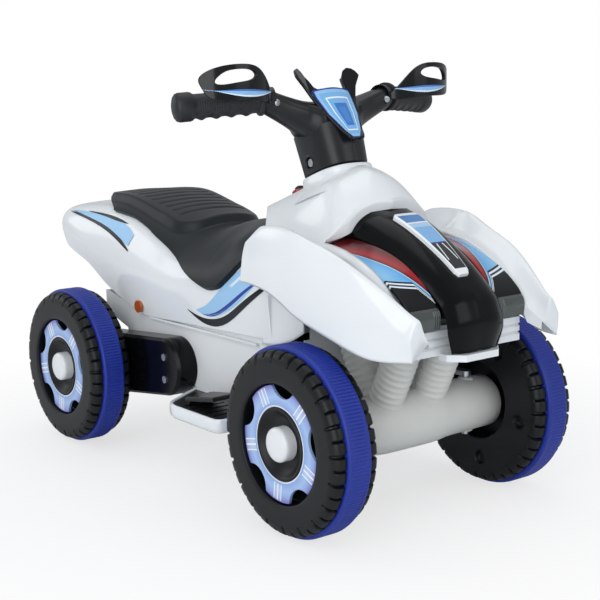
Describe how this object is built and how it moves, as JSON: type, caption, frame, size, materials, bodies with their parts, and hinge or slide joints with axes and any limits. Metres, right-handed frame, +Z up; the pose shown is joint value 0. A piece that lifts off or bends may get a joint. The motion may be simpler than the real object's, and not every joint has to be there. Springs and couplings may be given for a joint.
{
  "type": "kids quad bike",
  "caption": "Battery ride-on quad bike for a small child: moulded body with saddle seat, steerable front wheels on a tie rod, geared rear drive, pedal and handlebar with hand guards.",
  "frame": {"origin": "on the floor under the middle of the whole bike", "axes": "+X forward, +Y to the rider's left, +Z up"},
  "size_m": [0.868, 0.4192, 0.552],
  "materials": {
    "white_body": "gloss",
    "white_satin": "satin",
    "seat_skin": "satin",
    "black_gloss": "gloss",
    "black_satin": "satin",
    "badge_plate": "gloss",
    "lamp_panel": "gloss",
    "amber_lens": "gloss",
    "grey_natural": "satin",
    "steel": "satin",
    "motor_can": "satin",
    "battery_case": "satin",
    "grip_rubber": "matte",
    "red_button": "gloss",
    "gear_nylon": "satin",
    "wheel_black": "satin",
    "band_blue": "satin",
    "trim_blue": "gloss",
    "cap_white": "gloss"
  },
  "bodies": {
    "chassis": {"lower_chassis": "white_satin", "rear_shell": "white_body", "front_cowl": "white_body", "seat": "seat_skin", "hood_spine": "black_gloss", "hood_plate": "badge_plate", "headlamp_right": "lamp_panel", "headlamp_left": "lamp_panel", "front_bumper": "white_body", "side_reflectors": "amber_lens", "footrest_right": "white_body", "footrest_left": "white_body", "footrest_mats": "black_satin", "front_axle_beam": "grey_natural", "gearbox_case_right": "black_gloss", "gearbox_cover_right": "black_gloss", "gearbox_case_left": "black_gloss", "rear_axle": "steel", "motor": "motor_can", "battery": "battery_case", "body_screws": "steel"},
    "steering": {"steering_shaft": "steel", "column_cover": "black_satin", "handlebar": "black_satin", "grip_right": "grip_rubber", "grip_left": "grip_rubber", "hand_guard_right": "black_gloss", "hand_guard_left": "black_gloss", "visor": "black_gloss", "handlebar_screws": "steel"},
    "right_stub": {"stub_axle_right": "steel"},
    "left_stub": {"stub_axle_left": "steel"},
    "tie_rod": {"tie_rod": "steel"},
    "pedal": {"accelerator_pedal": "black_satin"},
    "button": {"power_button": "red_button"},
    "lever": {"direction_lever": "black_satin"},
    "pinion": {"motor_pinion": "gear_nylon"},
    "reduction": {"reduction_gear": "gear_nylon"},
    "wheel_front_right": {"wheel_front_right": "wheel_black", "band_front_right": "band_blue", "trim_front_right": "trim_blue", "cap_front_right": "cap_white"},
    "wheel_front_left": {"wheel_front_left": "wheel_black", "band_front_left": "band_blue", "trim_front_left": "trim_blue", "cap_front_left": "cap_white"},
    "wheel_rear_right": {"wheel_rear_right": "wheel_black", "band_rear_right": "band_blue", "trim_rear_right": "trim_blue", "cap_rear_right": "cap_white", "output_gear": "gear_nylon"},
    "wheel_rear_left": {"wheel_rear_left": "wheel_black", "band_rear_left": "band_blue", "trim_rear_left": "trim_blue", "cap_rear_left": "cap_white"}
  },
  "joints": [
    {"name": "steer", "type": "hinge", "parent": "chassis", "child": "steering", "pos_m": [0.168, 0, 0.404], "axis": [-0.3256, 0, 0.9455], "range_deg": [-20, 20]},
    {"name": "right_king_pin", "type": "hinge", "parent": "chassis", "child": "right_stub", "pos_m": [0.286, -0.112, 0.112], "axis": [0, 0, 1], "range_deg": [-20, 20]},
    {"name": "left_king_pin", "type": "hinge", "parent": "chassis", "child": "left_stub", "pos_m": [0.286, 0.112, 0.112], "axis": [0, 0, 1], "range_deg": [-20, 20]},
    {"name": "tie_rod_pivot", "type": "hinge", "parent": "right_stub", "child": "tie_rod", "pos_m": [0.236, -0.112, 0.146], "axis": [0, 0, 1], "range_deg": [-20, 20]},
    {"name": "front_right_spin", "type": "hinge", "parent": "right_stub", "child": "wheel_front_right", "pos_m": [0.286, -0.162, 0.115], "axis": [0, 1, 0], "continuous": true},
    {"name": "front_left_spin", "type": "hinge", "parent": "left_stub", "child": "wheel_front_left", "pos_m": [0.286, 0.162, 0.115], "axis": [0, 1, 0], "continuous": true},
    {"name": "rear_right_spin", "type": "hinge", "parent": "chassis", "child": "wheel_rear_right", "pos_m": [-0.262, -0.162, 0.115], "axis": [0, 1, 0], "continuous": true},
    {"name": "rear_left_spin", "type": "hinge", "parent": "chassis", "child": "wheel_rear_left", "pos_m": [-0.262, 0.162, 0.115], "axis": [0, 1, 0], "continuous": true},
    {"name": "reduction_spin", "type": "hinge", "parent": "chassis", "child": "reduction", "pos_m": [-0.21621, -0.107, 0.12308], "axis": [0, 1, 0], "continuous": true},
    {"name": "pinion_spin", "type": "hinge", "parent": "chassis", "child": "pinion", "pos_m": [-0.17431, -0.103, 0.126], "axis": [0, 1, 0], "continuous": true},
    {"name": "pedal_press", "type": "hinge", "parent": "chassis", "child": "pedal", "pos_m": [0.036, -0.137, 0.1133], "axis": [0, 1, 0], "range_deg": [0, 7], "stiffness_Nm_per_rad": 3, "springref_deg": -1.72},
    {"name": "button_press", "type": "slide", "parent": "chassis", "child": "button", "axis": [0.3786, 0, -0.9255], "range_m": [0, 0.003], "stiffness_N_per_m": 300, "springref_m": -0.001},
    {"name": "direction_select", "type": "hinge", "parent": "chassis", "child": "lever", "pos_m": [0.06352, 0.024, 0.36418], "axis": [0, 1, 0], "range_deg": [-12, 12]}
  ],
  "couplings": [
    {"joint": "right_king_pin", "follows": "steer", "ratio": 1},
    {"joint": "left_king_pin", "follows": "steer", "ratio": 1},
    {"joint": "tie_rod_pivot", "follows": "steer", "ratio": -1},
    {"joint": "reduction_spin", "follows": "rear_right_spin", "ratio": -3.4286},
    {"joint": "pinion_spin", "follows": "rear_right_spin", "ratio": 12.571}
  ]
}
